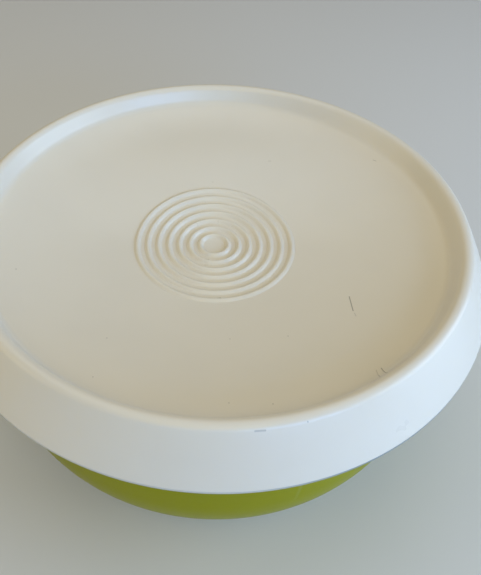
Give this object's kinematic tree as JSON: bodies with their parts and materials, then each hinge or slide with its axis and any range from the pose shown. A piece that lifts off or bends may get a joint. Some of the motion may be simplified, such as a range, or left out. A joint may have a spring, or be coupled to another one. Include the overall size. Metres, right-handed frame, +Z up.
{
  "type": "lidded bowl",
  "caption": "Round deep plastic bowl on a foot ring, with a press-on lid that has a deep sloping skirt, a dished panel and fine concentric ridges.",
  "frame": {"origin": "on the table surface, under the middle of the foot ring", "axes": "+Z up along the bowl's axis of symmetry; X and Y lie in the table surface and are interchangeable"},
  "size_m": [0.26, 0.26, 0.1282],
  "materials": {
    "bowl_plastic": "satin lime green moulded polypropylene",
    "lid_plastic": "satin off-white slightly translucent moulded polyethylene"
  },
  "bodies": {
    "bowl": {"bowl": "bowl_plastic"},
    "lid": {"lid": "lid_plastic"}
  },
  "joints": [
    {"name": "lid_lift", "type": "slide", "parent": "bowl", "child": "lid", "axis": [0, 0, 1], "range_m": [0, 0.12]}
  ]
}
